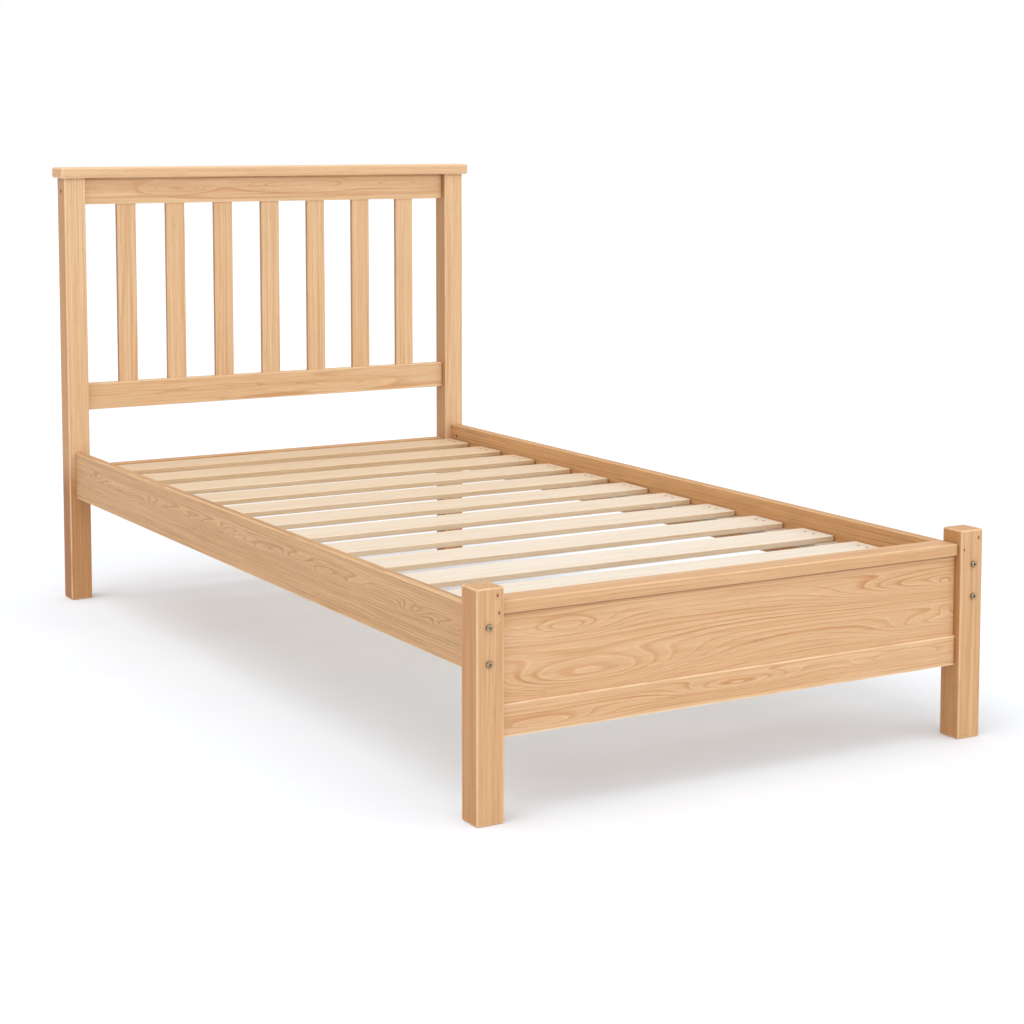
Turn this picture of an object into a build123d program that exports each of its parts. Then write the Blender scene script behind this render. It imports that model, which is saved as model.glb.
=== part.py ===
from build123d import *
import os

# Single bed frame in solid wood, made of its separate pieces.
# Millimetres. X runs across the bed, Y from the foot to the head, Z is up.
# The origin is on the floor, under the middle of the whole bed.

# ---- overall ----
bed_width = 1070              # over the outer faces of the posts
post_span = 1980              # front face of the foot posts to front face of the head posts
post_side = 52                # square section of all four posts
post_edge = 4                 # rounding of a post's long edges
foot_post_height = 390
foot_post_top_edge = 3.5
head_post_height = 1008
leg_chamfer = 2

# ---- joints ----
tenon_length = 23
mortise_depth = 24
tenon_shoulder = 8            # above and below a tenon
rail_tenon_thickness = 10
tongue = 8                    # how far the footboard panel's tongues reach
groove_spare = 0.5            # empty space at the bottom of a groove or mortise

# ---- head end ----
cap_thickness = 25
cap_front_overhang = 12
cap_back_overhang = 8
cap_end_overhang = 10
cap_edge = 5
head_rail_height = 63
head_rail_thickness = 22
head_rail_setback = 16        # behind the front face of the posts
head_rail_edge = 1.5
upper_rail_bottom = head_post_height - head_rail_height
lower_rail_bottom = 454
bottom_rail_bottom = 256
head_slat_count = 7
head_slat_width = 48
head_slat_thickness = 14
head_slat_pitch = 125
head_slat_edge = 3
head_slat_tenon = 12
head_slat_tenon_width = 38
head_slat_tenon_thickness = 8

# ---- foot end ----
foot_cap_height = 22
foot_cap_depth = 50
foot_cap_setback = 8
foot_cap_top = 365
foot_cap_edge = 3.5
foot_cap_tenon_width = 24
foot_cap_tenon_height = 12
lower_board_bottom = 138
lower_board_height = 55
lower_board_thickness = 24
lower_board_setback = 13
lower_board_chamfer = 2
lower_board_edge = 1.5
lower_board_shoulder = 11     # above and below its tenon, clear of the panel's groove
panel_thickness = 16
panel_setback = 16
tongue_thickness = 8

# ---- side rails and their bearers ----
side_rail_height = 110
side_rail_bottom = 245
side_rail_thickness = 20
side_rail_inset = 15          # from the outer face of the posts
side_rail_edge = 3
bearer_width = 50
bearer_height = 16
bearer_gap = 4                # between a bearer's end and the post
bearer_edge = 1.5

# ---- mattress slats ----
slat_count = 12
slat_width = 98
slat_thickness = 12
slat_edge = 2.5
slat_end_gap = 3
slat_bottom = 306
slat_screw_spread = 26        # between the two screws at a slat's end
slat_screw_inset = 26         # from the side rail's inner face

# ---- fasteners ----
bolt_radius = 3
bolt_hole_radius = 3.3
bolt_length = 90
bolt_head_radius = 6
bolt_head_height = 4.5
bolt_head_edge = 1.4
bolt_socket_radius = 2.5
bolt_socket_depth = 2.5
bolt_inset = 23               # from the outer face of the post
bolt_spread = 60
bolt_middle = 296
nut_radius = 5
nut_length = 15
nut_hole_offset = 5           # from the nut's outer end to its threaded hole
nut_setback = 30              # from the end of the side rail
nut_slot_width = 1.4
nut_slot_depth = 1.5
dowel_radius = 4
dowel_length = 38
dowel_hole_depth = 19.5
dowel_chamfer = 1
cap_dowel_length = 34
cap_dowel_hole_in_cap = 15
cap_dowel_spread = 32
cap_dowel_pitch = 250
hole_ease = 0.05              # radial room round a dowel or a screw thread
slat_screw_radius = 1.9
slat_screw_length = 25
slat_screw_head_radius = 3.7
slat_screw_sink = 0.3         # how far the head lies below the slat's top
bearer_screw_radius = 2
bearer_screw_length = 38
bearer_screw_head_radius = 4
bearer_screw_head_height = 3
bearer_screw_count = 6
bearer_counterbore_radius = 5
bearer_counterbore_depth = 26
rail_screw_radius = 3.2
rail_screw_length = 62
rail_screw_head_radius = 6
rail_screw_head_height = 4
rail_counterbore_radius = 7
rail_counterbore_depth = 10
drive_width = 1               # arms of a screw's cross recess
drive_depth = 1.6

# ---- places worked out from the sizes above ----
foot_y = -(post_span + post_side + cap_back_overhang - bolt_head_height) / 2
head_y = foot_y + post_span
post_x = (bed_width - post_side) / 2
post_inner_x = bed_width / 2 - post_side
span_between_posts = 2 * post_inner_x
head_rail_y = head_y + head_rail_setback + head_rail_thickness / 2
head_rail_bottoms = (upper_rail_bottom, lower_rail_bottom, bottom_rail_bottom)
head_rail_tenon_height = head_rail_height - 2 * tenon_shoulder
head_slat_xs = [
    head_slat_pitch * (index - (head_slat_count - 1) / 2) for index in range(head_slat_count)
]
lower_rail_top = lower_rail_bottom + head_rail_height
foot_cap_bottom = foot_cap_top - foot_cap_height
foot_cap_z = foot_cap_top - foot_cap_height / 2
foot_cap_y = foot_y + foot_cap_setback + foot_cap_depth / 2
lower_board_top = lower_board_bottom + lower_board_height
lower_board_y = foot_y + lower_board_setback + lower_board_thickness / 2
lower_board_tenon_height = lower_board_height - 2 * lower_board_shoulder
panel_y = foot_y + panel_setback + panel_thickness / 2
panel_height = foot_cap_bottom - lower_board_top
panel_z = lower_board_top + panel_height / 2
side_rail_front = foot_y + post_side
side_rail_length = post_span - post_side
side_rail_y = side_rail_front + side_rail_length / 2
side_rail_x = bed_width / 2 - side_rail_inset - side_rail_thickness / 2
side_rail_inner_x = side_rail_x - side_rail_thickness / 2
side_rail_z = side_rail_bottom + side_rail_height / 2
bearer_x = side_rail_inner_x - bearer_width / 2
bearer_z = slat_bottom - bearer_height / 2
slat_length = 2 * (side_rail_inner_x - slat_end_gap)
slat_top = slat_bottom + slat_thickness
first_slat_y = side_rail_front + slat_end_gap + slat_width / 2
last_slat_y = head_y - slat_end_gap - slat_width / 2
slat_pitch = (last_slat_y - first_slat_y) / (slat_count - 1)
slat_ys = [first_slat_y + slat_pitch * index for index in range(slat_count)]
slat_screw_x = side_rail_inner_x - slat_screw_inset
bolt_x = bed_width / 2 - bolt_inset
bolt_zs = (bolt_middle - bolt_spread / 2, bolt_middle + bolt_spread / 2)
nut_ys = (side_rail_front + nut_setback, head_y - nut_setback)
nut_outer_x = bolt_x + nut_hole_offset
cap_dowel_ys = (
    head_y + post_side / 2 - cap_dowel_spread / 2,
    head_y + post_side / 2 + cap_dowel_spread / 2,
)
bearer_screw_pitch = 2 * slat_pitch        # a screw in every second gap between slats
bearer_screw_ys = [
    side_rail_y + bearer_screw_pitch * (index - (bearer_screw_count - 1) / 2)
    for index in range(bearer_screw_count)
]
rail_screw_z = upper_rail_bottom + head_rail_height / 2
sides = {"left": -1, "right": 1}


def save(piece, name):
    piece.part.label = name
    export_step(piece.part, f"parts/{name}.step")


# ---- posts ----
def make_head_post(side, sign):
    with BuildPart() as post:
        with BuildSketch(Plane.XY):
            with Locations((sign * post_x, head_y + post_side / 2)):
                RectangleRounded(post_side, post_side, post_edge)
        extrude(amount=head_post_height)
        chamfer(post.edges().group_by(Axis.Z)[0], leg_chamfer)
        # mortises of the three cross rails
        mortise_x = sign * (post_inner_x + mortise_depth / 2)
        for rail_bottom in head_rail_bottoms:
            with Locations((mortise_x, head_rail_y, rail_bottom + head_rail_height / 2)):
                Box(mortise_depth, rail_tenon_thickness, head_rail_tenon_height, mode=Mode.SUBTRACT)
        # counterbored hole of the upper rail's screw, from the outer face
        outer_face = Plane(origin=(sign * bed_width / 2, head_rail_y, rail_screw_z), z_dir=(sign, 0, 0))
        with Locations(outer_face):
            CounterBoreHole(
                rail_screw_radius + hole_ease,
                rail_counterbore_radius,
                rail_counterbore_depth,
                depth=post_side - mortise_depth,
            )
        # bolts through to the side rail, and the dowel between them
        for bolt_z in bolt_zs:
            with Locations(Plane(origin=(sign * bolt_x, head_y, bolt_z), z_dir=(0, -1, 0))):
                Hole(bolt_hole_radius, depth=post_side)
        with Locations(Plane(origin=(sign * side_rail_x, head_y, bolt_middle), z_dir=(0, -1, 0))):
            Hole(dowel_radius + hole_ease, depth=dowel_hole_depth)
        # dowels of the head cap
        with Locations(*[(sign * post_x, dowel_y, head_post_height) for dowel_y in cap_dowel_ys]):
            Hole(dowel_radius + hole_ease, depth=cap_dowel_length - cap_dowel_hole_in_cap + 1)
    save(post, f"head_post_{side}")


def make_foot_post(side, sign):
    with BuildPart() as post:
        with BuildSketch(Plane.XY):
            with Locations((sign * post_x, foot_y + post_side / 2)):
                RectangleRounded(post_side, post_side, post_edge)
        extrude(amount=foot_post_height)
        fillet(post.edges().group_by(Axis.Z)[-1], foot_post_top_edge)
        chamfer(post.edges().group_by(Axis.Z)[0], leg_chamfer)
        # mortises of the foot cap and of the lower board
        mortise_x = sign * (post_inner_x + mortise_depth / 2)
        with Locations((mortise_x, foot_y + post_side / 2, foot_cap_z)):
            Box(mortise_depth, foot_cap_tenon_width, foot_cap_tenon_height, mode=Mode.SUBTRACT)
        with Locations((mortise_x, lower_board_y, lower_board_bottom + lower_board_height / 2)):
            Box(mortise_depth, rail_tenon_thickness, lower_board_tenon_height, mode=Mode.SUBTRACT)
        # groove of the panel
        groove_depth = tongue + groove_spare
        with Locations((sign * (post_inner_x + groove_depth / 2), panel_y, panel_z)):
            Box(groove_depth, tongue_thickness, panel_height, mode=Mode.SUBTRACT)
        # bolts through to the side rail, and the dowel between them
        for bolt_z in bolt_zs:
            with Locations(Plane(origin=(sign * bolt_x, foot_y, bolt_z), z_dir=(0, -1, 0))):
                Hole(bolt_hole_radius, depth=post_side)
        back_face = Plane(origin=(sign * side_rail_x, side_rail_front, bolt_middle), z_dir=(0, 1, 0))
        with Locations(back_face):
            Hole(dowel_radius + hole_ease, depth=dowel_hole_depth)
    save(post, f"foot_post_{side}")


# ---- headboard ----
def make_head_cap():
    cap_length = bed_width + 2 * cap_end_overhang
    cap_depth = post_side + cap_front_overhang + cap_back_overhang
    cap_y = head_y + (post_side + cap_back_overhang - cap_front_overhang) / 2
    with BuildPart() as cap:
        with Locations((0, cap_y, head_post_height + cap_thickness / 2)):
            Box(cap_length, cap_depth, cap_thickness)
        fillet(cap.edges(), cap_edge)
        post_dowels = [(sign * post_x, dowel_y) for sign in sides.values() for dowel_y in cap_dowel_ys]
        rail_dowels = [(step * cap_dowel_pitch, head_rail_y) for step in (-1, 0, 1)]
        for dowel_x, dowel_y in post_dowels + rail_dowels:
            with Locations(Plane(origin=(dowel_x, dowel_y, head_post_height), z_dir=(0, 0, -1))):
                Hole(dowel_radius + hole_ease, depth=cap_dowel_hole_in_cap + groove_spare)
    save(cap, "head_cap_rail")


def make_head_rail(name, rail_bottom, slats_above, slats_below):
    rail_z = rail_bottom + head_rail_height / 2
    with BuildPart() as rail:
        with Locations((0, head_rail_y, rail_z)):
            Box(span_between_posts, head_rail_thickness, head_rail_height)
        fillet(rail.edges().filter_by(Axis.X), head_rail_edge)
        for sign in sides.values():
            with Locations((sign * (post_inner_x + tenon_length / 2), head_rail_y, rail_z)):
                Box(tenon_length, rail_tenon_thickness, head_rail_tenon_height)
        # mortises of the upright slats
        slot_depth = head_slat_tenon + groove_spare
        slot_zs = []
        if slats_above:
            slot_zs.append(rail_bottom + head_rail_height - slot_depth / 2)
        if slats_below:
            slot_zs.append(rail_bottom + slot_depth / 2)
        for slot_z in slot_zs:
            with Locations(*[(slat_x, head_rail_y, slot_z) for slat_x in head_slat_xs]):
                Box(head_slat_tenon_width, head_slat_tenon_thickness, slot_depth, mode=Mode.SUBTRACT)
        if slats_below:
            # the upper rail is also screwed to the posts and dowelled to the cap
            for sign in sides.values():
                tenon_end = (sign * (post_inner_x + tenon_length), head_rail_y, rail_screw_z)
                with Locations(Plane(origin=tenon_end, z_dir=(sign, 0, 0))):
                    Hole(rail_screw_radius + hole_ease, depth=rail_screw_length - 10)
            with Locations(*[(step * cap_dowel_pitch, head_rail_y, head_post_height) for step in (-1, 0, 1)]):
                Hole(dowel_radius + hole_ease, depth=cap_dowel_length - cap_dowel_hole_in_cap + 1)
    save(rail, name)


def make_head_slat(number, slat_x):
    with BuildPart() as slat:
        with BuildSketch(Plane.XY.offset(lower_rail_top)):
            with Locations((slat_x, head_rail_y)):
                RectangleRounded(head_slat_width, head_slat_thickness, head_slat_edge)
        extrude(amount=upper_rail_bottom - lower_rail_top)
        with BuildSketch(Plane.XY.offset(lower_rail_top - head_slat_tenon)):
            with Locations((slat_x, head_rail_y)):
                Rectangle(head_slat_tenon_width, head_slat_tenon_thickness)
        extrude(amount=upper_rail_bottom - lower_rail_top + 2 * head_slat_tenon)
    save(slat, f"headboard_slat_{number}")


# ---- footboard ----
def make_foot_cap():
    with BuildPart() as cap:
        with Locations((0, foot_cap_y, foot_cap_z)):
            Box(span_between_posts, foot_cap_depth, foot_cap_height)
        fillet(cap.edges(), foot_cap_edge)
        with Locations((0, foot_y + post_side / 2, foot_cap_z)):
            Box(span_between_posts + 2 * tenon_length, foot_cap_tenon_width, foot_cap_tenon_height)
        # groove under the cap for the panel's upper tongue
        groove_depth = tongue + groove_spare
        with Locations((0, panel_y, foot_cap_bottom + groove_depth / 2)):
            Box(span_between_posts, tongue_thickness, groove_depth, mode=Mode.SUBTRACT)
    save(cap, "foot_cap_rail")


def make_foot_panel():
    with BuildPart() as panel:
        with Locations((0, panel_y, panel_z)):
            Box(span_between_posts, panel_thickness, panel_height)
            Box(span_between_posts, tongue_thickness, panel_height + 2 * tongue)
            Box(span_between_posts + 2 * tongue, tongue_thickness, panel_height)
    save(panel, "foot_panel")


def make_lower_board():
    board_z = lower_board_bottom + lower_board_height / 2
    with BuildPart() as board:
        with Locations((0, lower_board_y, board_z)):
            Box(span_between_posts, lower_board_thickness, lower_board_height)
        long_edges = board.edges().filter_by(Axis.X)
        top_front_edge = long_edges.group_by(Axis.Z)[-1].sort_by(Axis.Y)[0]
        bottom_edges = long_edges.group_by(Axis.Z)[0]
        fillet(bottom_edges, lower_board_edge)
        chamfer(top_front_edge, lower_board_chamfer)
        with Locations((0, lower_board_y, board_z)):
            Box(span_between_posts + 2 * tenon_length, rail_tenon_thickness, lower_board_tenon_height)
        groove_depth = tongue + groove_spare
        with Locations((0, panel_y, lower_board_top - groove_depth / 2)):
            Box(span_between_posts, tongue_thickness, groove_depth, mode=Mode.SUBTRACT)
    save(board, "foot_lower_board")


# ---- side rails, bearers and mattress slats ----
def make_side_rail(side, sign):
    with BuildPart() as rail:
        with Locations((sign * side_rail_x, side_rail_y, side_rail_z)):
            Box(side_rail_thickness, side_rail_length, side_rail_height)
        fillet(rail.edges(), side_rail_edge)
        # the two ends: bolt holes, the dowel hole between them and the holes of the barrel nuts
        for end_y, outward in ((side_rail_front, -1), (head_y, 1)):
            for bolt_z in bolt_zs:
                with Locations(Plane(origin=(sign * bolt_x, end_y, bolt_z), z_dir=(0, outward, 0))):
                    Hole(bolt_hole_radius, depth=bolt_length - post_side + 2)
            with Locations(Plane(origin=(sign * side_rail_x, end_y, bolt_middle), z_dir=(0, outward, 0))):
                Hole(dowel_radius + hole_ease, depth=dowel_hole_depth)
        nut_hole_depth = nut_outer_x - side_rail_inner_x
        for nut_y in nut_ys:
            for bolt_z in bolt_zs:
                inner_face = Plane(origin=(sign * side_rail_inner_x, nut_y, bolt_z), z_dir=(-sign, 0, 0))
                with Locations(inner_face):
                    Hole(nut_radius + hole_ease, depth=nut_hole_depth)
        # pilot holes of the bearer's screws
        for screw_y in bearer_screw_ys:
            inner_face = Plane(origin=(sign * side_rail_inner_x, screw_y, bearer_z), z_dir=(-sign, 0, 0))
            with Locations(inner_face):
                Hole(bearer_screw_radius + hole_ease, depth=side_rail_thickness * 0.8)
    save(rail, f"side_rail_{side}")


def make_bearer(side, sign):
    with BuildPart() as bearer:
        with Locations((sign * bearer_x, side_rail_y, bearer_z)):
            Box(bearer_width, side_rail_length - 2 * bearer_gap, bearer_height)
        fillet(bearer.edges().filter_by(Axis.Y), bearer_edge)
        edge_x = sign * (bearer_x - bearer_width / 2)
        for screw_y in bearer_screw_ys:
            with Locations(Plane(origin=(edge_x, screw_y, bearer_z), z_dir=(-sign, 0, 0))):
                CounterBoreHole(
                    bearer_screw_radius + hole_ease,
                    bearer_counterbore_radius,
                    bearer_counterbore_depth,
                    depth=bearer_width,
                )
        with Locations(*slat_screw_places(sign, slat_bottom)):
            Hole(slat_screw_radius + hole_ease, depth=bearer_height)
    save(bearer, f"slat_bearer_{side}")


def slat_screw_places(sign, z):
    half_spread = slat_screw_spread / 2
    return [
        (sign * slat_screw_x, slat_y + step * half_spread, z) for slat_y in slat_ys for step in (-1, 1)
    ]


def make_mattress_slat(number, slat_y):
    with BuildPart() as slat:
        with Locations((0, slat_y, slat_bottom + slat_thickness / 2)):
            Box(slat_length, slat_width, slat_thickness)
        fillet(slat.edges(), slat_edge)
        with Locations((0, slat_y, slat_top)):
            with GridLocations(2 * slat_screw_x, slat_screw_spread, 2, 2):
                CounterSinkHole(
                    slat_screw_radius + 2 * hole_ease,
                    slat_screw_head_radius + slat_screw_sink + 2 * hole_ease,
                    depth=slat_thickness,
                    counter_sink_angle=90,
                )
    save(slat, f"mattress_slat_{number:02d}")


# ---- fasteners ----
def make_bolt():
    # head towards -Y, its seat at the origin
    with BuildPart() as bolt:
        with BuildSketch(Plane.XZ):
            Circle(bolt_head_radius)
        extrude(amount=bolt_head_height)
        fillet(bolt.edges().sort_by(Axis.Y)[0], bolt_head_edge)
        with BuildSketch(Plane.XZ.offset(bolt_head_height)):
            RegularPolygon(bolt_socket_radius, 6)
        extrude(amount=-bolt_socket_depth, mode=Mode.SUBTRACT)
        with BuildSketch(Plane.XZ):
            Circle(bolt_radius)
        extrude(amount=-bolt_length)
        chamfer(bolt.edges().sort_by(Axis.Y)[-1], dowel_chamfer)
    return bolt.part


def make_bolts(name, seat_y, turn):
    bolt = make_bolt()
    with BuildPart() as bolts:
        for sign in sides.values():
            for bolt_z in bolt_zs:
                with Locations(Location((sign * bolt_x, seat_y, bolt_z), (0, 0, turn))):
                    add(bolt)
    save(bolts, name)


def make_barrel_nuts(side, sign):
    middle_x = nut_outer_x - nut_length / 2
    with BuildPart() as nuts:
        for nut_y in nut_ys:
            for bolt_z in bolt_zs:
                with Locations((sign * middle_x, nut_y, bolt_z)):
                    Cylinder(nut_radius, nut_length, rotation=(0, 90, 0))
                # threaded hole for the bolt
                with Locations((sign * bolt_x, nut_y, bolt_z)):
                    Cylinder(
                        bolt_radius + hole_ease, 2 * nut_radius, rotation=(90, 0, 0), mode=Mode.SUBTRACT
                    )
                # slot that turns the nut into line
                slot_x = sign * (nut_outer_x - nut_length + nut_slot_depth / 2)
                with Locations((slot_x, nut_y, bolt_z)):
                    Box(nut_slot_depth, 2 * nut_radius, nut_slot_width, mode=Mode.SUBTRACT)
    save(nuts, f"barrel_nuts_{side}")


def make_dowel(length):
    # upright, centred on the origin
    with BuildPart() as dowel:
        Cylinder(dowel_radius, length)
        chamfer(dowel.edges().group_by(Axis.Z)[0], dowel_chamfer)
        chamfer(dowel.edges().group_by(Axis.Z)[-1], dowel_chamfer)
    return dowel.part


def make_side_rail_dowels():
    dowel = make_dowel(dowel_length)
    with BuildPart() as dowels:
        for sign in sides.values():
            for joint_y in (side_rail_front, head_y):
                with Locations(Location((sign * side_rail_x, joint_y, bolt_middle), (90, 0, 0))):
                    add(dowel)
    save(dowels, "side_rail_dowels")


def make_cap_dowels():
    dowel = make_dowel(cap_dowel_length)
    dowel_z = head_post_height + cap_dowel_hole_in_cap - cap_dowel_length / 2
    post_places = [
        (sign * post_x, dowel_y, dowel_z) for sign in sides.values() for dowel_y in cap_dowel_ys
    ]
    rail_places = [(step * cap_dowel_pitch, head_rail_y, dowel_z) for step in (-1, 0, 1)]
    with BuildPart() as dowels:
        with Locations(*post_places, *rail_places):
            add(dowel)
    save(dowels, "head_cap_dowels")


def make_slat_screw():
    # point down, the middle of its head's top at the origin
    cone_depth = slat_screw_head_radius - slat_screw_radius
    with BuildPart() as screw:
        with BuildSketch(Plane.XZ):
            with BuildLine():
                Polyline(
                    (0, 0),
                    (slat_screw_head_radius, 0),
                    (slat_screw_radius, -cone_depth),
                    (slat_screw_radius, -slat_screw_length + 2 * slat_screw_radius),
                    (0, -slat_screw_length),
                    close=True,
                )
            make_face()
        revolve(axis=Axis.Z)
        for turn in (0, 90):
            with Locations((0, 0, -drive_depth / 2)):
                Box(
                    slat_screw_head_radius, drive_width, drive_depth,
                    rotation=(0, 0, turn), mode=Mode.SUBTRACT,
                )
    return screw.part


def make_slat_screws(side, sign):
    screw = make_slat_screw()
    with BuildPart() as screws:
        with Locations(*slat_screw_places(sign, slat_top - slat_screw_sink)):
            add(screw)
    save(screws, f"slat_screws_{side}")


def make_flat_seated_screw(radius, length, head_radius, head_height):
    # point down, its head's flat seat at the origin
    with BuildPart() as screw:
        with BuildSketch(Plane.XY):
            Circle(head_radius)
        extrude(amount=head_height)
        fillet(screw.edges().group_by(Axis.Z)[-1], head_height / 3)
        for turn in (0, 90):
            with Locations((0, 0, head_height - drive_depth / 2)):
                Box(
                    head_radius, drive_width, drive_depth,
                    rotation=(0, 0, turn), mode=Mode.SUBTRACT,
                )
        with BuildSketch(Plane.XY):
            Circle(radius)
        extrude(amount=-length)
        chamfer(screw.edges().group_by(Axis.Z)[0], radius / 2)
    return screw.part


def make_bearer_screws(side, sign):
    screw = make_flat_seated_screw(
        bearer_screw_radius, bearer_screw_length, bearer_screw_head_radius, bearer_screw_head_height
    )
    seat_x = sign * (bearer_x - bearer_width / 2 + bearer_counterbore_depth)
    with BuildPart() as screws:
        for screw_y in bearer_screw_ys:
            with Locations(Plane(origin=(seat_x, screw_y, bearer_z), z_dir=(-sign, 0, 0))):
                add(screw)
    save(screws, f"bearer_screws_{side}")


def make_head_rail_screws():
    screw = make_flat_seated_screw(
        rail_screw_radius, rail_screw_length, rail_screw_head_radius, rail_screw_head_height
    )
    seat_x = bed_width / 2 - rail_counterbore_depth
    with BuildPart() as screws:
        for sign in sides.values():
            with Locations(Plane(origin=(sign * seat_x, head_rail_y, rail_screw_z), z_dir=(sign, 0, 0))):
                add(screw)
    save(screws, "head_rail_screws")


os.makedirs("parts", exist_ok=True)

for side, sign in sides.items():
    make_head_post(side, sign)
    make_foot_post(side, sign)
    make_side_rail(side, sign)
    make_bearer(side, sign)
    make_barrel_nuts(side, sign)
    make_slat_screws(side, sign)
    make_bearer_screws(side, sign)

make_head_cap()
make_head_rail("head_upper_rail", upper_rail_bottom, slats_above=False, slats_below=True)
make_head_rail("head_lower_rail", lower_rail_bottom, slats_above=True, slats_below=False)
make_head_rail("head_bottom_rail", bottom_rail_bottom, slats_above=False, slats_below=False)
for index, slat_x in enumerate(head_slat_xs):
    make_head_slat(index + 1, slat_x)

make_foot_cap()
make_foot_panel()
make_lower_board()
for index, slat_y in enumerate(slat_ys):
    make_mattress_slat(index + 1, slat_y)

make_bolts("foot_bolts", foot_y, 0)
make_bolts("head_bolts", head_y + post_side, 180)
make_side_rail_dowels()
make_cap_dowels()
make_head_rail_screws()
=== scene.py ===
"""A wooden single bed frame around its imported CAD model: wood, metal, floor, light and camera."""
import math
import random

import bpy
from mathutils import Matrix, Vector


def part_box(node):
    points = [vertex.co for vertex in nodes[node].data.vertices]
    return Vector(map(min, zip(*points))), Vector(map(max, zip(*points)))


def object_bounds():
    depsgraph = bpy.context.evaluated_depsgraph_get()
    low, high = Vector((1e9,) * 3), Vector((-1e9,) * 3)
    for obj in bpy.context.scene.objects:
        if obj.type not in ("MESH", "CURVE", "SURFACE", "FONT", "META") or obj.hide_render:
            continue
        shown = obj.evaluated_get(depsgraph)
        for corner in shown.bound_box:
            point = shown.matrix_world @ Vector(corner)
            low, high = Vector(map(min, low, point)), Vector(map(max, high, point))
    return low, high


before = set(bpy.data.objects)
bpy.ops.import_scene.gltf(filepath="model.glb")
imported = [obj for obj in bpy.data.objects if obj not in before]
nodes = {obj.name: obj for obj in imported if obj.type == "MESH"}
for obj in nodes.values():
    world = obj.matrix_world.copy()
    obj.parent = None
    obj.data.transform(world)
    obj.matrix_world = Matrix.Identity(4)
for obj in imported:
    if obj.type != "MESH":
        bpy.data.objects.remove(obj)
cad_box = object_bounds()
MM = 0.001

# ---- camera: the eye's place, its heading to the right of +Y, and its tilt below the horizon
CAMERA_PLACE = (-2.2054, -3.9963, 1.1194)
CAMERA_HEADING = math.radians(30.234)
CAMERA_TILT = math.radians(5.239)
CAMERA_LENS = 76.43
CAMERA_SENSOR = 36.0
CAMERA_SHIFT = -0.1777
CAMERA_REACH = 200.0

# ---- light
BACKDROP_STRENGTH = 1.0
SKY_STRENGTH = 0.89
KEY_STRENGTH = 0.95
KEY_SPREAD = math.radians(50)
KEY_FROM = (-0.48, -0.12, 1.0)
FILL_STRENGTH = 0.71
FILL_SPREAD = math.radians(80)
FILL_FROM = (0.35, -0.9, 0.30)
FLOOR_SIZE = 80.0
FLOOR_GAP = 0.2 * MM            # under the legs


def srgb(red, green, blue):
    """A linear colour from 8-bit screen values."""
    def linear(value):
        value /= 255
        return value / 12.92 if value <= 0.04045 else ((value + 0.055) / 1.055) ** 2.4
    return (linear(red), linear(green), linear(blue), 1.0)


# ---- wood tones: early wood, its deeper streaks, late wood lines, and the edges' painted highlight, with wear
HONEY = {"light": srgb(223, 185, 144), "mid": srgb(210, 165, 121), "dark": srgb(186, 123, 70),
         "edge": srgb(243, 213, 174)}
POST = {"light": srgb(220, 181, 139), "mid": srgb(203, 156, 110), "dark": srgb(176, 117, 68),
        "edge": srgb(242, 208, 166)}
HEAD = {"light": srgb(231, 197, 157), "mid": srgb(219, 177, 133), "dark": srgb(194, 136, 84),
        "edge": srgb(244, 214, 174)}
TAN = {"light": srgb(205, 165, 121), "mid": srgb(193, 149, 104), "dark": srgb(148, 97, 56),
       "edge": srgb(240, 200, 150)}
AMBER = {"light": srgb(210, 164, 114), "mid": srgb(194, 143, 93), "dark": srgb(160, 106, 62),
         "edge": srgb(234, 196, 148)}
CREAM = {"light": srgb(236, 229, 218), "mid": srgb(229, 217, 199), "dark": srgb(212, 180, 144),
         "edge": srgb(248, 238, 222)}
STRAW = {"light": srgb(224, 201, 169), "mid": srgb(215, 186, 150), "dark": srgb(194, 152, 108),
         "edge": srgb(240, 215, 180)}
GREY_WOOD = {"light": srgb(206, 190, 168), "mid": srgb(190, 170, 146), "dark": srgb(150, 128, 104),
             "edge": srgb(220, 206, 186)}
# painted shade: the narrow side faces of the posts and slats are darker, on both sides
FOOT_POST_SIDE_SHADE = (0.77, 0.61, 0.45, 1.0)
HEAD_POST_SIDE_SHADE = (0.59, 0.44, 0.29, 1.0)
# painted shade on the head posts' lowest part, all round
HEAD_POST_FOOT_SHADE = (0.74, 0.58, 0.44, 1.0)
UPRIGHT_SIDE_SHADE = (0.50, 0.37, 0.26, 1.0)
SLAT_SIDE_SHADE = (0.88, 0.77, 0.63, 1.0)
KNOT = srgb(112, 66, 34)
# painted shade along the joint lines, under the caps and where rails and panels meet the posts
JOINT_SHADE = srgb(132, 82, 44)
LOW_SHADE_TOP = 0.34             # a post's painted shade at its foot fades out between these heights
LOW_SHADE_FULL = 0.26

# ---- noises in the wood: cells per metre along the grain and across it, detail, and roughness
SLOW_WANDER = (1.6, 15, 1.0)
QUICK_RIPPLE = (12, 50, 1.0)
STREAKS = (2.0, 120, 3.0, 0.6)
THIN_LINES = (5, 260, 2.0, 0.6)
FIBRES = (14, 520, 3.0, 0.65)
PORES = (34, 760, 1.0)
BROAD_CLOUDS = (1.3, 7, 1.0)
PATCHES = (2.2, 14, 2.0)
# spots that break up the edges' painted highlight, with wear
HIGHLIGHT_AND_WEAR_SPOTS = (18, 60, 2.0)
SEED_STEP = (7.3, 3.1, 5.7)     # how far apart two boards' noises lie, for seeds 1 apart

# ---- one year's growth, from 0 to 1: how dark its late wood is, and how light its early wood
LATE_WOOD = [(0.0, 0.25), (0.05, 0.0), (0.60, 0.04), (0.86, 1.0), (0.94, 0.75)]
EARLY_WOOD = [(0.0, 1.0), (0.2, 0.0)]

# ---- how far the rings move, in rings: with the streaks, with the thin lines, and round a knot
STREAK_SWING = 0.16
THIN_SWING = 0.12
SPACING_SWING = 0.35            # some years grow more than others
SPACING_CELLS = 0.8             # per ring
KNOT_RINGS = 0.9

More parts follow.
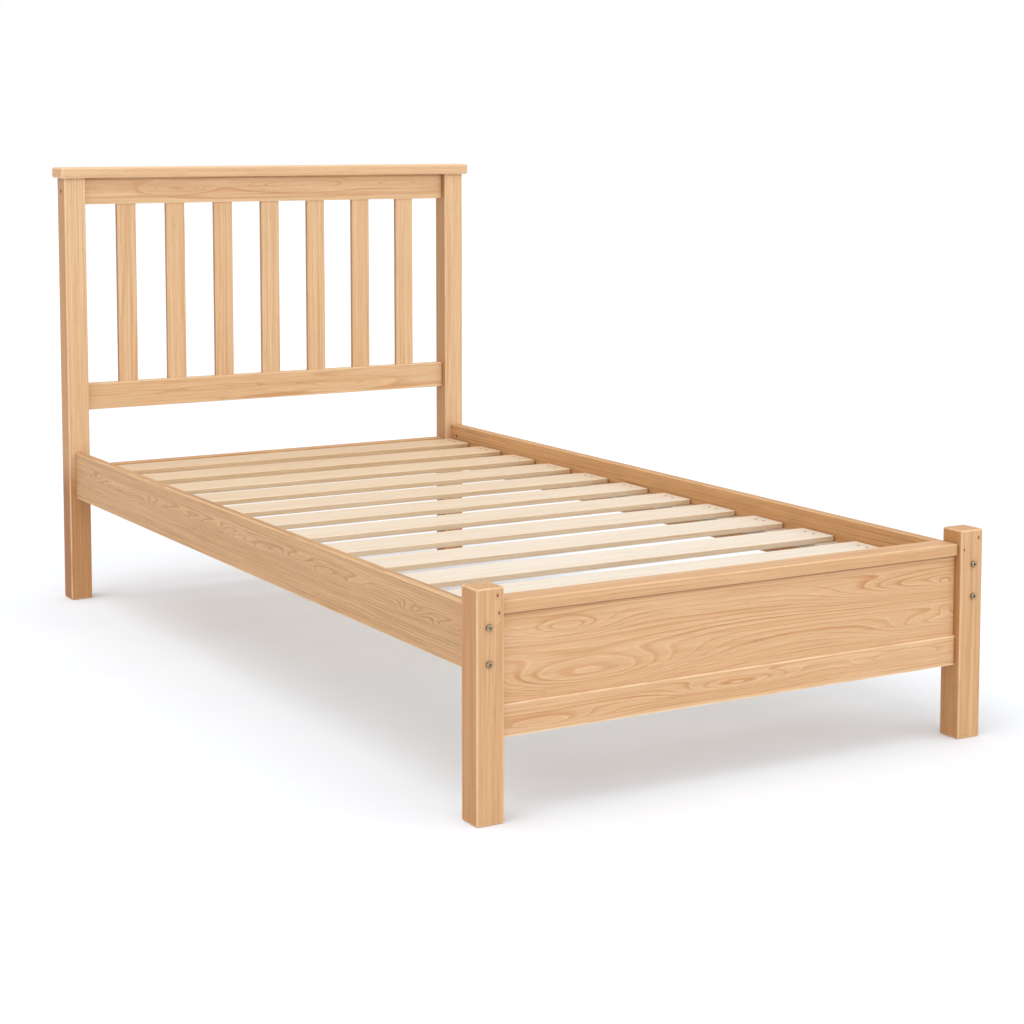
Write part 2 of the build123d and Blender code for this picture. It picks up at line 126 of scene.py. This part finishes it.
# ---- how strongly each thing shows in the colour, from 0 to 1
EARLY_LIGHT = 0.28
CLOUD_DEPTH = 0.45
THIN_DEPTH = 0.34
PORE_DEPTH = 0.14
KNOT_DEPTH = 0.85
# the depth of the painted shade along joints and on narrow sides
JOINT_SHADE_DEPTH = 0.78
SIDE_SHADE_DEPTH = 0.8
FACE_SHARPNESS = 3.0            # how quickly the end grain's tone and a side's painted shade end at a rounded edge

# ---- the wood's surface
WOOD_ROUGHNESS = 0.56
WOOD_SPECULAR = 0.28
RELIEF_STRENGTH = 0.35
RELIEF_HEIGHT = 0.35 * MM

# ---- metal
SCRATCHES = (900, 5200, 2.0, 0.6)

# ---- slats, as the node names number them
HEADBOARD_SLATS = 7
MATTRESS_SLATS = 12

# ---- swirls in the left side rail's grain, from the rail's middle along +Y
SWIRL_PLACES = (-0.88, -0.76, -0.53, -0.40, -0.28, -0.12, 0.0, 0.12, 0.23, 0.33, 0.44, 0.66, 0.75, 0.85)


class Material:
    """One material's node tree: each method adds a node and gives back its socket."""

    def __init__(self, name):
        self.data = bpy.data.materials.new(name)
        self.data.use_nodes = True
        self.tree = self.data.node_tree
        self.shader = self.tree.nodes["Principled BSDF"]

    def put(self, socket, value):
        """Links a socket to another, or sets it to a plain value."""
        if isinstance(value, bpy.types.NodeSocket):
            self.tree.links.new(value, socket)
        else:
            socket.default_value = value

    def maths(self, operation, *values):
        node = self.tree.nodes.new("ShaderNodeMath")
        node.operation = operation
        for socket, value in zip(node.inputs, values):
            self.put(socket, value)
        return node.outputs[0]

    def vector_maths(self, operation, a, b):
        node = self.tree.nodes.new("ShaderNodeVectorMath")
        node.operation = operation
        self.put(node.inputs[0], a)
        self.put(node.inputs[1], b)
        return node.outputs[0]

    def swing(self, value, reach):
        """Moves noise from 0..1 to -reach..reach."""
        return self.maths("MULTIPLY", self.maths("SUBTRACT", value, 0.5), 2 * reach)

    def add_up(self, terms):
        total = terms[0]
        for term in terms[1:]:
            total = self.maths("ADD", total, term)
        return total

    def place(self):
        """The point's place in the bed's own frame."""
        return self.tree.nodes.new("ShaderNodeTexCoord").outputs["Object"]

    def normal(self):
        return self.tree.nodes.new("ShaderNodeNewGeometry").outputs["Normal"]

    def split(self, vector):
        node = self.tree.nodes.new("ShaderNodeSeparateXYZ")
        self.put(node.inputs[0], vector)
        return node.outputs[0], node.outputs[1], node.outputs[2]

    def join(self, x, y, z):
        node = self.tree.nodes.new("ShaderNodeCombineXYZ")
        for socket, value in zip(node.inputs, (x, y, z)):
            self.put(socket, value)
        return node.outputs[0]

    def noise(self, vector, along, across, detail=2.0, rough=0.5):
        """Noise with its cells stretched along the first axis, from 0 to 1."""
        node = self.tree.nodes.new("ShaderNodeTexNoise")
        self.put(node.inputs["Vector"], self.vector_maths("MULTIPLY", vector, (along, across, across)))
        node.inputs["Scale"].default_value = 1.0
        node.inputs["Detail"].default_value = detail
        node.inputs["Roughness"].default_value = rough
        return node.outputs[0]

    def noise_along(self, value, scale):
        """Noise of one value."""
        node = self.tree.nodes.new("ShaderNodeTexNoise")
        node.noise_dimensions = "1D"
        self.put(node.inputs["W"], value)
        node.inputs["Scale"].default_value = scale
        node.inputs["Detail"].default_value = 1.0
        return node.outputs[0]

    def level(self, value, low, high, start=0.0, end=1.0):
        """Moves a value from low..high to start..end, smoothly and clamped."""
        node = self.tree.nodes.new("ShaderNodeMapRange")
        node.interpolation_type = "SMOOTHSTEP"
        for key, number in (("From Min", low), ("From Max", high), ("To Min", start), ("To Max", end)):
            node.inputs[key].default_value = number
        self.put(node.inputs["Value"], value)
        return node.outputs[0]

    def ramp(self, value, stops):
        node = self.tree.nodes.new("ShaderNodeValToRGB")
        band = node.color_ramp
        while len(band.elements) < len(stops):
            band.elements.new(0.5)
        for element, (position, grey) in zip(band.elements, stops):
            element.position = position
            element.color = (grey, grey, grey, 1.0)
        self.put(node.inputs[0], value)
        return node.outputs[0]

    def mix(self, factor, a, b, blend="MIX"):
        node = self.tree.nodes.new("ShaderNodeMix")
        node.data_type = "RGBA"
        node.blend_type = blend
        self.put(node.inputs[0], factor)
        self.put(node.inputs[6], a)
        self.put(node.inputs[7], b)
        return node.outputs[2]

    def bump(self, height, strength, distance):
        node = self.tree.nodes.new("ShaderNodeBump")
        node.inputs["Strength"].default_value = strength
        node.inputs["Distance"].default_value = distance
        self.put(node.inputs["Height"], height)
        self.put(self.shader.inputs["Normal"], node.outputs[0])


# The axis along the grain comes first, then the two across it.
AXIS_ORDER = {"x": (0, 1, 2), "y": (1, 0, 2), "z": (2, 0, 1)}


class Board:
    """A point's places on one board, from its centre: along the grain, then the two across it."""

    def __init__(self, mat, node, grain, seed):
        low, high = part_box(node)
        centre, half = (low + high) / 2, (high - low) / 2
        order = AXIS_ORDER[grain]
        facing = mat.split(mat.normal())
        self.frame_place = mat.split(mat.place())
        self.places = [mat.maths("SUBTRACT", self.frame_place[i], centre[i]) for i in order]
        self.centre = [centre[i] for i in order]
        self.half = [half[i] for i in order]
        self.facing = [facing[i] for i in order]
        self.cells = mat.vector_maths("ADD", mat.join(*self.places), [step * seed for step in SEED_STEP])


def blob(mat, along, across, centre, half_length, half_width, lean=0.0):
    """A smooth hill, 1 at its centre, over two of the board's places."""
    ahead = mat.maths("SUBTRACT", along, centre[0])
    aside = mat.maths("SUBTRACT", across, centre[1])
    aside = mat.maths("SUBTRACT", aside, mat.maths("MULTIPLY", ahead, lean))
    a = mat.maths("DIVIDE", ahead, half_length)
    b = mat.maths("DIVIDE", aside, half_width)
    squared = mat.maths("ADD", mat.maths("MULTIPLY", a, a), mat.maths("MULTIPLY", b, b))
    return mat.maths("EXPONENT", mat.maths("MULTIPLY", squared, -1.0))


def rings_from_pith(mat, board, pith, ring, slope):
    """How many rings lie between the pith and the point, in a straight log."""
    squares = []
    for place, centre, drift in zip(board.places[1:], pith, slope):
        drifted = mat.maths("MULTIPLY", board.places[0], drift)
        offset = mat.maths("SUBTRACT", mat.maths("SUBTRACT", place, centre), drifted)
        squares.append(mat.maths("MULTIPLY", offset, offset))
    return mat.maths("DIVIDE", mat.maths("SQRT", mat.maths("ADD", *squares)), ring)


def ring_lines(mat, board, phase, figure):
    """The late wood's dark lines, some rings and some patches stronger than others."""
    late = mat.ramp(mat.maths("FRACT", phase), LATE_WOOD)
    each_ring = mat.level(mat.noise_along(mat.maths("FLOOR", phase), 3.7), 0.3, 0.7, 0.5, 1.0)
    patchy = mat.level(mat.noise(board.cells, *PATCHES), 0.35, 0.65, 0.45, 1.0)
    return mat.maths("MULTIPLY", mat.maths("MULTIPLY", late, each_ring),
                     mat.maths("MULTIPLY", patchy, figure))


def edge_highlight_and_wear(mat, board, edge, edge_highlight):
    """How much painted highlight, with wear, the point gets near an edge: where the middle one of its distances
    to the three pairs of faces is small.
    """
    along, *across = (mat.maths("SUBTRACT", size, mat.maths("ABSOLUTE", place))
                      for size, place in zip(board.half, board.places))
    nearer = mat.maths("MINIMUM", *across)
    further = mat.maths("MAXIMUM", *across)
    middle = mat.maths("MAXIMUM", nearer, mat.maths("MINIMUM", further, along))
    highlight_and_wear = mat.level(middle, 0.15 * edge, edge, edge_highlight, 0.0)
    spots = mat.level(mat.noise(board.cells, *HIGHLIGHT_AND_WEAR_SPOTS), 0.3, 0.6, 0.5, 1.0)
    return mat.maths("MULTIPLY", highlight_and_wear, spots)


def tinted(mat, factor, colour, tone):
    """The colour, multiplied by a tone where the factor is 1."""
    return mat.mix(factor, colour, mat.mix(1.0, colour, tone, "MULTIPLY"))


def wood(name, node, grain, tones, pith, ring=6 * MM, wander=0.8, ripple=0.12, slope=(0.0, 0.0),
         face=2, eyes=(), knots=(), lean=0.0, seed=0.0, figure=0.6, edge=4 * MM, edge_highlight=0.6,
         painted_side_shade=None, low_painted_shade=None, joints=(), end_depth=0.18):
    """Wood as a solid: rings round a pith, so that face, edge and end grain all agree.

    grain is the axis that the board runs along. pith is where the rings' centre lies across the
    board, from the board's centre, and slope is how far it drifts per metre. wander and ripple are
    the slow and the quick wobble of the rings, in rings, and figure is the lines' strength.
    eyes are closed swirls of the rings: ((place along, place across), half length, half width,
    rings). They lean by the given rise per metre, and face says which of the two places across they
    use. knots are ((place along, place across), radius). edge and edge_highlight are the width and the
    strength of the painted highlight, with wear, along the edges. painted_side_shade is painted shade on
    the faces across the board's second axis, low_painted_shade painted shade on a post's foot, and
    end_depth deepens the end grain. joints are (axis, place, reach): where another board
    meets this one, with painted shade along the joint.
    """
    mat = Material(name)
    board = Board(mat, node, grain, seed)
    along, across = board.places[0], board.places[face]
    streak, thin, fibre, broad = (mat.noise(board.cells, *cells)
                                  for cells in (STREAKS, THIN_LINES, FIBRES, BROAD_CLOUDS))
    pores = mat.level(mat.noise(board.cells, *PORES), 0.62, 0.74)

    # rings, and what bends them
    terms = [rings_from_pith(mat, board, pith, ring, slope),
             mat.swing(mat.noise(board.cells, *SLOW_WANDER), wander),
             mat.swing(mat.noise(board.cells, *QUICK_RIPPLE), ripple)]
    for centre, half_length, half_width, count in eyes:
        hill = blob(mat, along, across, centre, half_length, half_width, lean)
        terms.append(mat.maths("MULTIPLY", hill, count))
    for centre, radius in knots:
        hill = blob(mat, along, across, centre, 5 * radius, 2.6 * radius)
        terms.append(mat.maths("MULTIPLY", hill, KNOT_RINGS))
    terms += [mat.swing(streak, STREAK_SWING), mat.swing(thin, THIN_SWING)]
    phase = mat.add_up(terms)
    phase = mat.maths("ADD", phase, mat.swing(mat.noise_along(phase, SPACING_CELLS), SPACING_SWING))
    lines = ring_lines(mat, board, phase, figure)
    early = mat.ramp(mat.maths("FRACT", phase), EARLY_WOOD)

    # colour: streaks and clouds, rings, thin dark lines, fibres and pores
    colour = mat.mix(mat.level(streak, 0.28, 0.72), tones["light"], tones["mid"])
    colour = mat.mix(mat.level(broad, 0.3, 0.7, 0.0, CLOUD_DEPTH), colour, tones["mid"])
    colour = mat.mix(mat.maths("MULTIPLY", early, EARLY_LIGHT * figure), colour, tones["edge"])
    colour = mat.mix(lines, colour, tones["dark"])
    colour = mat.mix(mat.level(thin, 0.52, 0.76, 0.0, THIN_DEPTH), colour, tones["dark"])
    shade = mat.maths("MULTIPLY", mat.level(fibre, 0.3, 0.7, 0.95, 1.05),
                      mat.maths("SUBTRACT", 1.0, mat.maths("MULTIPLY", pores, PORE_DEPTH)))
    colour = mat.mix(1.0, colour, mat.join(shade, shade, shade), "MULTIPLY")
    for centre, radius in knots:
        core = blob(mat, along, across, centre, 1.5 * radius, radius)
        colour = mat.mix(mat.level(core, 0.25, 0.8, 0.0, KNOT_DEPTH), colour, KNOT)
    # painted shade along the lines where another board meets this one
    for axis, joint, reach in joints:
        offset = mat.maths("SUBTRACT", board.frame_place["xyz".index(axis)], joint)
        shade_near_joint = mat.level(mat.maths("ABSOLUTE", offset), 0.0, reach, JOINT_SHADE_DEPTH, 0.0)
        colour = mat.mix(shade_near_joint, colour, JOINT_SHADE)

    # end grain is darker; painted shade darkens the two narrow sides and a post's foot; and a painted highlight,
    # with wear, lightens the edges
    end_grain = mat.maths("POWER", mat.maths("ABSOLUTE", board.facing[0]), FACE_SHARPNESS)
    colour = mat.mix(mat.maths("MULTIPLY", end_grain, end_depth), colour, tones["dark"])
    if painted_side_shade:
        narrow_side_shade = mat.maths("POWER", mat.maths("ABSOLUTE", board.facing[1]), FACE_SHARPNESS)
        colour = tinted(mat, mat.maths("MULTIPLY", narrow_side_shade, SIDE_SHADE_DEPTH), colour, painted_side_shade)
    # painted shade on a post's foot
    if low_painted_shade:
        full, top = LOW_SHADE_FULL - board.centre[0], LOW_SHADE_TOP - board.centre[0]
        foot = mat.level(along, full, top, 1.0, 0.0)
        colour = tinted(mat, foot, colour, low_painted_shade)
    highlight_and_wear = edge_highlight_and_wear(mat, board, edge, edge_highlight)
    mat.put(mat.shader.inputs["Base Color"], mat.mix(highlight_and_wear, colour, tones["edge"]))

    # gloss and relief
    gloss = mat.maths("SUBTRACT", WOOD_ROUGHNESS, mat.maths("MULTIPLY", lines, 0.10))
    gloss = mat.maths("ADD", gloss, mat.maths("MULTIPLY", mat.maths("SUBTRACT", fibre, 0.5), 0.16))
    gloss = mat.maths("SUBTRACT", gloss, mat.maths("MULTIPLY", highlight_and_wear, 0.08))
    mat.put(mat.shader.inputs["Roughness"], gloss)
    mat.shader.inputs["Specular IOR Level"].default_value = WOOD_SPECULAR
    relief = mat.maths("SUBTRACT", mat.maths("ADD", fibre, mat.maths("MULTIPLY", lines, 0.5)),
                       mat.maths("MULTIPLY", pores, 0.8))
    mat.bump(relief, RELIEF_STRENGTH, RELIEF_HEIGHT)
    return mat.data


def metal(name, light, dark, roughness, mottle):
    """Plated metal that has dulled in spots, with fine scratches."""
    mat = Material(name)
    place = mat.place()
    spots = mat.noise(place, mottle, mottle, 4.0, 0.7)
    scratches = mat.noise(place, *SCRATCHES)
    colour = mat.mix(mat.level(spots, 0.38, 0.62), light, dark)
    mat.put(mat.shader.inputs["Base Color"], colour)
    mat.shader.inputs["Metallic"].default_value = 1.0
    rough = mat.maths("ADD", mat.level(spots, 0.3, 0.7, roughness - 0.08, roughness + 0.14),
                      mat.maths("MULTIPLY", mat.maths("SUBTRACT", scratches, 0.5), 0.12))
    mat.put(mat.shader.inputs["Roughness"], rough)
    mat.bump(mat.maths("ADD", spots, mat.maths("MULTIPLY", scratches, 0.4)), 0.3, 0.12 * MM)
    return mat.data


def finish(node, material):
    for slot in nodes[node].material_slots:
        slot.material = material


def post_joint_shade_lines(end, reach):
    """The two planes where the boards at one end of the bed meet its posts, for painted shade along these
    joints.
    """
    return (("x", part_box(f"{end}_post_left")[1].x, reach), ("x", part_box(f"{end}_post_right")[0].x, reach))


# one source of random numbers: head_end, sides and mattress_slats draw from it, in that order
rng = random.Random(11)


def foot_end():
    """The panel, its cap and lower board, and the two foot posts."""
    cap_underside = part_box("foot_cap_rail")[0].z
    post_faces = post_joint_shade_lines("foot", 5 * MM)
    finish("foot_panel", wood(
        "panel_wood", "foot_panel", "x", HONEY, pith=(0.08, -0.15), ring=7 * MM, wander=1.5, ripple=0.2,
        eyes=(((-0.31, -0.047), 0.22, 0.034, 8.2), ((-0.355, 0.038), 0.085, 0.015, 4.0),
              ((0.47, 0.030), 0.27, 0.022, 6.6), ((0.50, -0.046), 0.19, 0.021, 6.2),
              ((0.459, 0.026), 0.020, 0.009, 1.8), ((0.46, -0.022), 0.018, 0.008, 1.6)),
        seed=1.0, figure=0.82, joints=(("z", cap_underside, 7 * MM),) + post_faces))
    finish("foot_lower_board", wood(
        "lower_board_wood", "foot_lower_board", "x", HONEY, pith=(0.06, -0.10), ring=6 * MM, wander=1.4,
        eyes=(((-0.01, 0.002), 0.13, 0.014, 5.6), ((-0.40, -0.014), 0.12, 0.012, 3.6),
              ((0.36, 0.002), 0.15, 0.012, 3.4)),
        seed=2.0, figure=0.8, edge=4 * MM, edge_highlight=1.0, joints=post_faces))
    finish("foot_cap_rail", wood(
        "foot_cap_wood", "foot_cap_rail", "x", POST, pith=(0.05, -0.06), ring=4 * MM, wander=1.0,
        seed=3.0, figure=0.7, edge=3.5 * MM, edge_highlight=0.6, joints=post_faces))
    for side, pith, seed, knots in (
            ("left", (0.03, 0.055), 4.0, (((0.182, 0.013), 2.4 * MM), ((0.153, 0.016), 2.4 * MM))),
            ("right", (-0.02, 0.06), 5.0, (((0.179, 0.015), 2.6 * MM), ((0.159, -0.019), 2.4 * MM)))):
        node = f"foot_post_{side}"
        finish(node, wood(
            f"{node}_wood", node, "z", POST, pith=pith, ring=4 * MM, wander=0.9, face=1, knots=knots,
            seed=seed, figure=0.42, edge_highlight=0.75, painted_side_shade=FOOT_POST_SIDE_SHADE))


def head_end():
    """Posts, cap, three rails and the upright slats."""
    cap_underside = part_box("head_cap_rail")[0].z
    post_faces = post_joint_shade_lines("head", 4 * MM)
    for side, pith, seed in (("left", (0.05, 0.04), 6.0), ("right", (-0.03, 0.06), 7.0)):
        node = f"head_post_{side}"
        finish(node, wood(
            f"{node}_wood", node, "z", HEAD, pith=pith, ring=4 * MM, wander=1.6, seed=seed, figure=0.5,
            edge_highlight=0.75, painted_side_shade=HEAD_POST_SIDE_SHADE, low_painted_shade=HEAD_POST_FOOT_SHADE,
            joints=(("z", cap_underside, 7 * MM),)))
    finish("head_cap_rail", wood(
        "head_cap_wood", "head_cap_rail", "x", HEAD, pith=(-0.02, -0.07), ring=5 * MM, wander=1.4,
        seed=8.0, figure=0.5, edge=5 * MM, end_depth=0.5))
    finish("head_upper_rail", wood(
        "head_upper_rail_wood", "head_upper_rail", "x", HEAD, pith=(0.06, 0.004), ring=5 * MM, wander=1.2,
        eyes=(((-0.25, 0.004), 0.080, 0.012, 4.0), ((0.08, 0.008), 0.16, 0.014, 3.4),
              ((0.36, 0.010), 0.09, 0.010, 2.6)),
        seed=9.0, figure=0.7, joints=(("z", cap_underside, 8 * MM),) + post_faces))
    finish("head_lower_rail", wood(
        "head_lower_rail_wood", "head_lower_rail", "x", HEAD, pith=(0.06, 0.0), ring=5 * MM, wander=1.2,
        eyes=(((-0.44, 0.0), 0.20, 0.015, 4.4), ((-0.10, 0.004), 0.18, 0.015, 3.8),
              ((0.20, -0.006), 0.14, 0.013, 3.0)),
        seed=10.0, figure=0.65, joints=post_faces))
    finish("head_bottom_rail", wood(
        "head_bottom_rail_wood", "head_bottom_rail", "x", AMBER, pith=(0.05, 0.03), seed=11.0))
    for number in range(1, HEADBOARD_SLATS + 1):
        node = f"headboard_slat_{number}"
        pith = (rng.uniform(-0.04, 0.04), rng.uniform(0.03, 0.06))
        finish(node, wood(
            f"{node}_wood", node, "z", HEAD, pith=pith, ring=4 * MM, wander=1.6,
            seed=12.0 + number, figure=rng.uniform(0.45, 0.65), edge=3 * MM, painted_side_shade=UPRIGHT_SIDE_SHADE))


def sides():
    """Side rails and the bearers that the slats rest on."""
    swirls = [((place, rng.uniform(0.002, 0.014)), rng.uniform(0.06, 0.09), rng.uniform(10, 13) * MM,
               rng.uniform(3.2, 4.6)) for place in SWIRL_PLACES]
    finish("side_rail_left", wood(
        "side_rail_left_wood", "side_rail_left", "y", TAN, pith=(0.05, -0.11), ring=5 * MM, wander=1.6,
        ripple=0.45, eyes=swirls, lean=-0.10, seed=21.0, figure=0.7,
        joints=(("y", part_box("head_post_left")[0].y, 6 * MM), ("y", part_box("foot_post_left")[1].y, 6 * MM))))
    finish("side_rail_right", wood(
        "side_rail_right_wood", "side_rail_right", "y", AMBER, pith=(-0.04, 0.01), ring=4 * MM, wander=0.9,
        eyes=(((-0.5, 0.004), 0.20, 0.014, 3.2), ((0.3, 0.0), 0.24, 0.014, 3.0)), seed=22.0, figure=0.6))
    for side, seed in (("left", 23.0), ("right", 24.0)):
        node = f"slat_bearer_{side}"
        finish(node, wood(f"{node}_wood", node, "y", GREY_WOOD, pith=(0.03, 0.03), seed=seed, figure=0.4))


def mattress_slats():
    """Twelve pale slats, palest at the foot: faint straight grain on top, and painted shade on their narrow
    sides.
    """
    for number in range(1, MATTRESS_SLATS + 1):
        node = f"mattress_slat_{number:02d}"
        pith = (rng.uniform(-0.12, 0.12), rng.uniform(-0.09, -0.05))
        towards_head = (number - 1) / (MATTRESS_SLATS - 1)
        tones = {key: tuple(a + (b - a) * towards_head for a, b in zip(CREAM[key], STRAW[key]))
                 for key in CREAM}
        finish(node, wood(
            f"{node}_wood", node, "x", tones, pith=pith, ring=5 * MM, wander=1.4,
            slope=(rng.uniform(-0.03, 0.03), 0.0), seed=30.0 + number, figure=rng.uniform(0.25, 0.4),
            edge=2 * MM, edge_highlight=0.9, painted_side_shade=SLAT_SIDE_SHADE))


def fixings():
    """Bolts, screws, barrel nuts and dowels."""
    nickel = metal("aged_nickel", srgb(196, 178, 150), srgb(124, 104, 80), 0.42, 420)
    steel = metal("dark_steel", srgb(140, 126, 106), srgb(92, 78, 62), 0.42, 600)
    zinc = metal("zinc_plate", srgb(196, 196, 190), srgb(150, 150, 144), 0.34, 300)
    for node in ("foot_bolts", "head_bolts"):
        finish(node, nickel)
    for node in ("slat_screws_left", "slat_screws_right", "bearer_screws_left", "bearer_screws_right",
                 "head_rail_screws"):
        finish(node, steel)
    for node in ("barrel_nuts_left", "barrel_nuts_right"):
        finish(node, zinc)
    for node in ("side_rail_dowels", "head_cap_dowels"):
        finish(node, wood(f"{node}_wood", node, "z", CREAM, pith=(0.0, 0.0), seed=50.0))


def pale_floor():
    """Nearly white and matt, with the faintest clouds."""
    mat = Material("pale_floor")
    clouds = mat.noise(mat.place(), 3, 3, 3.0)
    tone = mat.mix(mat.level(clouds, 0.3, 0.7), srgb(239, 243, 249), srgb(241, 245, 250))
    mat.put(mat.shader.inputs["Base Color"], tone)
    mat.shader.inputs["Roughness"].default_value = 0.9
    mat.shader.inputs["Specular IOR Level"].default_value = 0.1
    return mat.data


def floor():
    """A plain pale floor under the legs."""
    half = FLOOR_SIZE / 2
    corners = [(-half, -half, 0), (half, -half, 0), (half, half, 0), (-half, half, 0)]
    mesh = bpy.data.meshes.new("floor")
    mesh.from_pydata(corners, [], [(0, 1, 2, 3)])
    plane = bpy.data.objects.new("floor", mesh)
    plane.location = (0.0, 0.0, cad_box[0][2] - FLOOR_GAP)
    bpy.context.scene.collection.objects.link(plane)
    mesh.materials.append(pale_floor())


def lights():
    """A soft white sky all round, a broad key from above the left side, a fill from the front right.

    The sky that the camera sees has its own strength, because the backdrop is pure white.
    """
    world = bpy.data.worlds.new("studio")
    bpy.context.scene.world = world
    world.use_nodes = True
    tree = world.node_tree
    sky = tree.nodes["Background"]
    path = tree.nodes.new("ShaderNodeLightPath")
    level = tree.nodes.new("ShaderNodeMapRange")
    level.inputs["To Min"].default_value = SKY_STRENGTH
    level.inputs["To Max"].default_value = BACKDROP_STRENGTH
    tree.links.new(path.outputs["Is Camera Ray"], level.inputs["Value"])
    tree.links.new(level.outputs[0], sky.inputs["Strength"])
    sky.inputs["Color"].default_value = (1.0, 1.0, 1.0, 1.0)
    for name, strength, spread, source in (("key", KEY_STRENGTH, KEY_SPREAD, KEY_FROM),
                                           ("fill", FILL_STRENGTH, FILL_SPREAD, FILL_FROM)):
        light = bpy.data.lights.new(name, "SUN")
        light.energy = strength
        light.angle = spread
        lamp = bpy.data.objects.new(name, light)
        lamp.rotation_euler = Vector(source).to_track_quat("Z", "Y").to_euler()
        bpy.context.scene.collection.objects.link(lamp)


def camera():
    """The eye stands in front of the foot's left corner, at about 1.1 m."""
    data = bpy.data.cameras.new("camera")
    data.lens = CAMERA_LENS
    data.sensor_width = CAMERA_SENSOR
    data.shift_y = CAMERA_SHIFT
    data.clip_end = CAMERA_REACH
    eye = bpy.data.objects.new("camera", data)
    eye.location = CAMERA_PLACE
    eye.rotation_euler = (math.pi / 2 - CAMERA_TILT, 0.0, -CAMERA_HEADING)
    bpy.context.scene.collection.objects.link(eye)
    bpy.context.scene.camera = eye


foot_end()
head_end()
sides()
mattress_slats()
fixings()
floor()
lights()
camera()
bpy.context.scene.view_settings.view_transform = "Standard"
bpy.context.scene.view_settings.look = "None"
